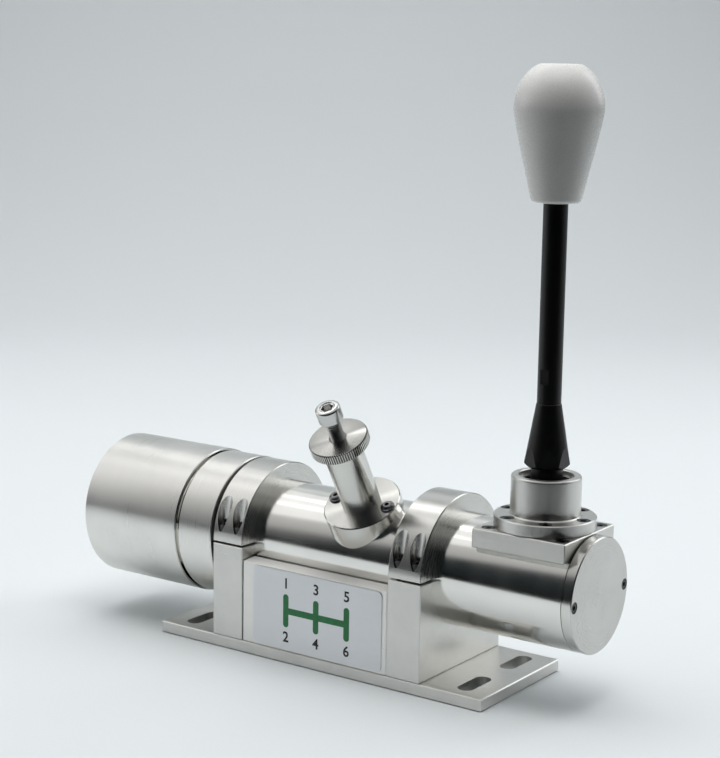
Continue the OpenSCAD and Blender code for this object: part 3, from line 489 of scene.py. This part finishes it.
# rim: how far in from the head's side and down from its top, tooth: shares of the thread's height and pitch
screwSet = {"headLow": 92.52 * mm, "headTop": 100.52 * mm, "headR": 6.6 * mm, "neckR": 3.2 * mm,
            "neckLow": 0.6 * mm, "throatR": 3.7 * mm, "edge": 0.35 * mm,
            "rim": ((0.0, 1.1), (0.12, 0.62), (0.45, 0.25), (0.95, 0.05), (1.5, 0.0)), "sinkR": 4.3 * mm,
            "sinkLowR": 3.55 * mm, "sinkDeep": 0.45 * mm, "sides": 96, "key": 3.5 * mm, "keyDeep": 4.4 * mm,
            "keyTurn": 12, "tip": 66.0 * mm, "major": 3.98 * mm, "minor": 3.38 * mm, "pitch": 1.25 * mm,
            "tooth": ((0, 0.14), (1, 0.37), (0, 0.12), (-1, 0.37)), "threadSteps": 36,
            "threadGap": 0.2 * mm, "seed": 0.1 * mm, "smooth": 30}


def buildHead(s):
    low, top, radius = s["headLow"], s["headTop"], s["headR"]
    profile = [(s["neckR"], low - s["neckLow"]), (s["throatR"], low), (radius - s["edge"], low),
               (radius, low + s["edge"])]
    profile += [(radius - inward * mm, top - down * mm) for inward, down in s["rim"]]
    profile += [(s["sinkR"], top), (s["sinkLowR"], top - s["sinkDeep"])]
    head = latheUp("adjusterScrew", profile, s["sides"])
    clearSelection()
    bpy.ops.mesh.primitive_cylinder_add(vertices=6, radius=s["key"], depth=2 * s["keyDeep"],
                                        location=(0, 0, top), rotation=(0, 0, math.radians(s["keyTurn"])))
    cutter = bpy.context.object
    applyModifier(head, "BOOLEAN", operation="DIFFERENCE", object=cutter, solver="EXACT")
    pick(cutter)
    bpy.ops.object.delete()
    return head


def buildThread(s):
    clearSelection()
    bpy.ops.mesh.primitive_plane_add(size=s["seed"], location=(0, 0, 0))
    thread = bpy.context.object
    bpy.ops.object.mode_set(mode="EDIT")
    bpy.ops.mesh.merge(type="CENTER")
    bpy.ops.transform.translate(value=(s["minor"], 0, s["tip"]))
    rise, pitch = s["major"] - s["minor"], s["pitch"]
    for out, up in s["tooth"]:
        bpy.ops.mesh.extrude_vertices_move(TRANSFORM_OT_translate={"value": (out * rise, 0, up * pitch)})
    bpy.ops.object.mode_set(mode="OBJECT")
    turns = int((s["headLow"] - s["tip"] - s["threadGap"]) / pitch)
    applyModifier(thread, "SCREW", screw_offset=pitch, iterations=turns, steps=s["threadSteps"],
                  render_steps=s["threadSteps"], use_merge_vertices=True, merge_threshold=samePoint,
                  use_normal_calculate=True)
    mergeAndClose()
    return thread


def buildScrew(s):
    head = buildHead(s)
    thread = buildThread(s)
    pick(head)
    thread.select_set(True)
    bpy.ops.object.join()
    standOnPlunger(head)
    smoothBy(head, s["smooth"])
    dress(head, "adjuster", "stainless", stainless, "adjuster_screw")


buildScrew(screwSet)

springSet = {"low": 17.46 * mm, "high": 62.1 * mm, "coil": 4.05 * mm, "wire": 0.65 * mm, "halfCurls": 7,
             "steps": 24, "sides": 10, "smooth": 50}


def buildSpring(s):
    # two halves that meet in the middle
    low, high, curls = s["low"], s["high"], s["halfCurls"]
    middle = (low + high) / 2
    halves = (("springBelow", "detent_ball", "base", low, middle),
              ("springAbove", "base", "spring_seat", middle, high))
    for name, lowBody, highBody, start, end in halves:
        clearSelection()
        bpy.ops.mesh.primitive_circle_add(vertices=s["sides"], radius=s["wire"],
                                          location=(s["coil"], 0, start), rotation=(quarterTurn, 0, 0))
        wire = bpy.context.object
        wire.name = name
        applyPlace(wire)
        applyModifier(wire, "SCREW", screw_offset=(end - start) / curls, iterations=curls, steps=s["steps"],
                      render_steps=s["steps"])
        mergeAndClose()
        standOnPlunger(wire)
        smoothBy(wire, s["smooth"])
        wear(wire, groundSteel)
        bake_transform(wire)
        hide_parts("detent_spring")


buildSpring(springSet)

labelSet = {"place": (2.8 * mm, -40.5 * mm, 29.45 * mm), "ink": 0.05 * mm,
            "gates": (-20.0 * mm, 0.0, 20.0 * mm), "half": 9.2 * mm, "bar": 3.6 * mm,
            "corner": 0.49, "cornerSteps": 6, "digit": 8.0 * mm, "digitOut": 14.9 * mm,
            "digitSteps": 5, "bold": 0.16 * mm}


def thicken(ink):
    bpy.ops.mesh.select_all(action="SELECT")
    bpy.ops.mesh.extrude_region_move(TRANSFORM_OT_translate={"value": (0, -ink, 0)})
    faceOut()


def inkBar(s, x0, z0, x1, z1, rounded):
    clearSelection()
    bpy.ops.mesh.primitive_plane_add(size=1.0, location=((x0 + x1) / 2, 0, (z0 + z1) / 2),
                                     rotation=(quarterTurn, 0, 0))
    bar = bpy.context.object
    bar.scale = (x1 - x0, z1 - z0, 1)
    applyPlace(bar)
    editAll()
    if rounded:
        corner = min(x1 - x0, z1 - z0) * s["corner"]
        bpy.ops.mesh.bevel(offset=corner, segments=s["cornerSteps"], affect="VERTICES")
    thicken(s["ink"])
    return bar


def inkDigit(s, i):
    clearSelection()
    bpy.ops.object.text_add(rotation=(quarterTurn, 0, 0))
    digit = bpy.context.object
    digit.data.body = str(i + 1)
    digit.data.align_x, digit.data.align_y = "CENTER", "CENTER"
    digit.data.size = s["digit"]
    digit.data.resolution_u = s["digitSteps"]
    digit.data.offset = s["bold"]
    bpy.ops.object.convert(target="MESH")
    digit = bpy.context.object
    digit.location = (s["gates"][i // 2], 0, -s["digitOut"] if i % 2 else s["digitOut"])
    applyPlace(digit)
    editAll()
    bpy.ops.mesh.remove_doubles(threshold=samePoint)
    bpy.ops.mesh.dissolve_degenerate(threshold=samePoint)
    thicken(s["ink"])
    return digit


def joined(s, pieces, name):
    pick(pieces[0])
    for piece in pieces[1:]:
        piece.select_set(True)
    bpy.ops.object.join()
    made = bpy.context.object
    made.name = name
    made.location = s["place"]
    applyPlace(made)
    return made


def buildLabelInk(s):
    half, w, gates = s["half"], s["bar"] / 2, s["gates"]
    bars = [inkBar(s, x - w, -half, x + w, half, True) for x in gates]
    bars += [inkBar(s, a + w, -w, b - w, w, False) for a, b in zip(gates, gates[1:])]
    dress(joined(s, bars, "gateDiagram"), "base", "label_plate", greenInk)
    digits = [inkDigit(s, i) for i in range(2 * len(gates))]
    dress(joined(s, digits, "gateNumbers"), "base", "label_plate", blackInk)


buildLabelInk(labelSet)
print("knob, nut, screw, spring and label ink built")

# Floor, light and camera
stageSet = {"turn": 35.3, "width": 6.0, "edge": -0.29, "front": -3.0, "back": 1.15, "curve": 0.55,
            "wall": 2.2, "floorZ": -0.0002, "steps": 12, "near": 0.01, "fibre": 900.0,
            "dark": (0.757, 0.795, 0.81), "light": (0.777, 0.815, 0.83), "rough": 0.75, "gleam": 0.2,
            "farRadius": 3.2, "farInner": 0.5,
            "farZ": -0.004, "farCurve": 0.7, "farTop": 3.4, "farSides": 96, "farSmooth": 30}


def paperFinish(s):
    f = Finish("palePaper")
    f.tint(f.noise(f.coord, s["fibre"]), s)
    f.put(Roughness=s["rough"], Specular_IOR_Level=s["gleam"])
    return f.mat


def paperSheet(name, s, near, far):
    clearSelection()
    bpy.ops.mesh.primitive_plane_add(size=1.0, location=(0, 0, 0))
    sheet = bpy.context.object
    sheet.name = name
    sheet.scale = (s["width"], far - near, 1)
    sheet.location = (0, (near + far) / 2, s["floorZ"])
    applyPlace(sheet)
    return sheet


def buildStage(s):
    paper, steps = paperFinish(s), s["steps"]
    sweep = paperSheet("paperSweep", s, s["edge"], s["back"])
    atBack = s["back"] - s["near"]
    selectWhere(sweep, lambda a, b: a.y > atBack and b.y > atBack, "EDGE")
    for i in range(steps):
        a0, a1 = (quarterTurn * k / steps for k in (i, i + 1))
        move = (0, s["curve"] * (math.sin(a1) - math.sin(a0)), s["curve"] * (math.cos(a0) - math.cos(a1)))
        bpy.ops.mesh.extrude_region_move(TRANSFORM_OT_translate={"value": move})
    bpy.ops.mesh.extrude_region_move(TRANSFORM_OT_translate={"value": (0, 0, s["wall"])})
    bpy.ops.object.mode_set(mode="OBJECT")
    bpy.ops.object.shade_smooth()
    # the floor goes on to the front for the eye, while the metal mirrors the dark side of the room there
    apron = paperSheet("frontApron", s, s["front"], s["edge"])
    apron.visible_glossy = False
    apron.visible_diffuse = False
    for sheet in (sweep, apron):
        sheet.rotation_euler = (0, 0, math.radians(s["turn"]))
        applyPlace(sheet)
        sheet.data.materials.append(paper)
    # a round wall far off, behind the object in views from other sides; only the camera sees it
    bend, around = s["farCurve"], s["farRadius"] - s["farCurve"]
    outline = [(s["farInner"], s["farZ"])]
    for i in range(steps + 1):
        a = quarterTurn * i / steps
        outline.append((around + bend * math.sin(a), s["farZ"] + bend * (1 - math.cos(a))))
    far = latheUp("farWall", outline + [(s["farRadius"], s["farTop"])], s["farSides"])
    smoothBy(far, s["farSmooth"])
    far.data.materials.append(paper)
    for ray in ("diffuse", "glossy", "transmission", "shadow"):
        setattr(far, "visible_" + ray, False)


buildStage(stageSet)

# glow is the brightness of the lamp's face in the metal, fill is extra light for paper and plastic
lampSet = {
    "strip": {"place": (-0.95, 0.15, 1.15), "aim": (0.0, 0.0, 0.06), "size": (0.9, 0.9),
              "glow": 0.54, "fill": 0.1},
    "left": {"place": (-0.95, -0.47, 1.15), "aim": (0.0, 0.0, 0.1), "size": (0.56, 0.9),
             "glow": 0.5, "fill": 0.4},
    "crown": {"place": (0.19, -0.13, 0.95), "aim": (0.117, 0.0, 0.3), "size": (0.36, 0.36), "fill": 2.9},
    "top": {"place": (-0.25, 0.3, 1.25), "aim": (0.0, 0.05, 0.05), "size": (1.25, 1.05), "fill": 1.0},
    "overhead": {"place": (0.25, -0.25, 1.35), "aim": (0.1, 0.0, 0.2), "size": (0.9, 0.7), "glow": 0.25},
    "ceiling": {"place": (0.2, -0.25, 2.2), "aim": (0.1, 0.0, 0.1), "size": (1.8, 1.4), "fill": 1.35},
    "side": {"place": (-1.25, -0.4, 0.4), "aim": (0.0, 0.0, 0.2), "size": (0.7, 0.6),
             "glow": 1.0, "fill": 0.6},
    "back": {"place": (-0.75, 1.05, 1.35), "aim": (0.0, 0.0, 0.1), "size": (1.8, 0.8),
             "glow": 0.25, "fill": 0.1},
    "right": {"place": (0.5, 0.95, 0.75), "aim": (0.05, 0.0, 0.15), "size": (0.5, 0.9),
              "glow": 1.8, "fill": 0.6, "colour": (0.95, 0.98, 1.0)},
    "wall": {"place": (-0.5, 0.7, 1.7), "aim": (-0.98, 1.39, 0.75), "size": (1.6, 0.4), "glow": 3.0},
}


def hangLamp(name, level, s, inMirrors):
    data = bpy.data.lights.new(name, "AREA")
    data.shape = "RECTANGLE"
    width, depth = s["size"]
    data.size, data.size_y = width, depth
    data.energy = level * math.pi * width * depth
    data.color = s.get("colour", (1, 1, 1))
    lamp = bpy.data.objects.new(name, data)
    bpy.context.scene.collection.objects.link(lamp)
    lamp.location = s["place"]
    lamp.rotation_euler = (Vector(s["aim"]) - Vector(s["place"])).to_track_quat("-Z", "Y").to_euler()
    lamp.visible_glossy = inMirrors


for lampName, lampValues in lampSet.items():
    if "glow" in lampValues:
        hangLamp(lampName + "Softbox", lampValues["glow"], lampValues, True)
    if "fill" in lampValues:
        hangLamp(lampName + "Fill", lampValues["fill"], lampValues, False)

# a grey room, brighter above and behind, dark in front where the photographer stands
roomSet = {"byHeight": ((0.0, 0.03), (0.495, 0.04), (0.53, 0.42), (0.6, 0.58), (0.7, 0.68), (1.0, 0.68)),
           "front": (0.578, -0.816, 0.0),
           "toFront": ((0.0, 1.0), (0.5, 1.0), (0.56, 0.95), (0.622, 0.82), (0.652, 0.035), (1.0, 0.02)),
           "frontShare": ((0.8, 1.0), (0.95, 0.5)), "strength": 0.85, "coolBelow": 0.2,
           "green": 0.5, "blue": 1.2}


def buildRoom(s):
    world = bpy.data.worlds.new("studio")
    bpy.context.scene.world = world
    world.use_nodes = True
    tree = world.node_tree
    join = tree.links.new

    def tinted(level):
        # the dark side of the room is a little blue
        cool = max(0.0, s["coolBelow"] - level)
        return (level * (1 - cool), level * (1 + s["green"] * cool), level * (1 + s["blue"] * cool), 1)

    def fromSigned(value):
        made = tree.nodes.new("ShaderNodeMapRange")
        made.inputs["From Min"].default_value = -1.0
        join(value, made.inputs["Value"])
        return made.outputs["Result"]

    def ramp(source, stops):
        made = tree.nodes.new("ShaderNodeValToRGB")
        ends = made.color_ramp.elements
        for end, (place, level) in zip(ends, (stops[0], stops[-1])):
            end.position = place
            end.color = tinted(level)
        for place, level in stops[1:-1]:
            ends.new(place).color = tinted(level)
        join(source, made.inputs["Fac"])
        return made.outputs["Color"]

    direction = tree.nodes.new("ShaderNodeTexCoord").outputs["Generated"]
    split = tree.nodes.new("ShaderNodeSeparateXYZ")
    join(direction, split.inputs["Vector"])
    height = fromSigned(split.outputs["Z"])
    facing = tree.nodes.new("ShaderNodeVectorMath")
    facing.operation = "DOT_PRODUCT"
    facing.inputs[1].default_value = s["front"]
    join(direction, facing.inputs[0])
    mixed = tree.nodes.new("ShaderNodeMix")
    mixed.data_type = "RGBA"
    mixed.blend_type = "MULTIPLY"
    join(ramp(height, s["frontShare"]), mixed.inputs["Factor"])
    join(ramp(height, s["byHeight"]), mixed.inputs["A"])
    join(ramp(fromSigned(facing.outputs["Value"]), s["toFront"]), mixed.inputs["B"])
    backdrop = tree.nodes["Background"]
    join(mixed.outputs["Result"], backdrop.inputs["Color"])
    backdrop.inputs["Strength"].default_value = s["strength"]


buildRoom(roomSet)

# the focal length was fitted in pixels of a picture this high
cameraSet = {"place": (0.55263, -0.78514, 0.32256), "turn": (79.953, -0.89, 35.265),
             "focalPixels": 1811.553, "pictureHeight": 758, "sensor": 36.0, "near": 0.01}


def placeCamera(s):
    data = bpy.data.cameras.new("photoView")
    data.sensor_width = s["sensor"]
    data.sensor_fit = "AUTO"
    data.lens = s["focalPixels"] * s["sensor"] / s["pictureHeight"]
    data.clip_start = s["near"]
    camera = bpy.data.objects.new("photoView", data)
    bpy.context.scene.collection.objects.link(camera)
    camera.location = s["place"]
    camera.rotation_euler = [math.radians(a) for a in s["turn"]]
    bpy.context.scene.camera = camera


placeCamera(cameraSet)
bpy.context.scene.view_settings.view_transform = "Standard"
print("stage, lamps and camera set")

clearSelection()
